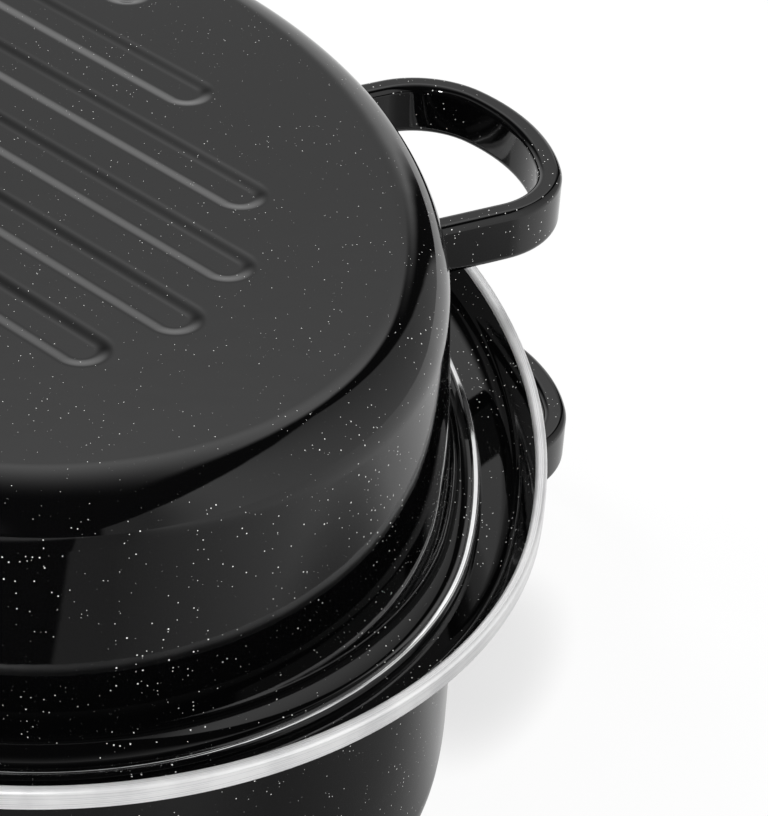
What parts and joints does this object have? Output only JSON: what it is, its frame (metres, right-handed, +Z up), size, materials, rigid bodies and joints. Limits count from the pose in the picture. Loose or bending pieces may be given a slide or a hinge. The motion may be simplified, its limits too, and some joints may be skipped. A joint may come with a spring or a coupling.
{
  "type": "enamel roasting pot",
  "caption": "Oval roasting pot in speckled black enamel with a deep grooved lid, steel rims and closed loop handles.",
  "frame": {"origin": "centre of the pot's base, on the table", "axes": "+X towards the right handle, +Y towards the back along the oval's length, +Z up"},
  "size_m": [0.432, 0.437, 0.1919],
  "materials": {
    "enamel": "gloss black enamel with fine white speckles",
    "handle_enamel": "gloss black enamel with fine white speckles",
    "steel": "bright rolled stainless steel"
  },
  "bodies": {
    "root": {"pot_body": "enamel", "pot_rim": "steel", "pot_handle_left": "handle_enamel", "pot_handle_right": "handle_enamel", "lid_shell": "enamel", "lid_rim": "steel", "lid_handle_left": "handle_enamel", "lid_handle_right": "handle_enamel"}
  },
  "joints": []
}
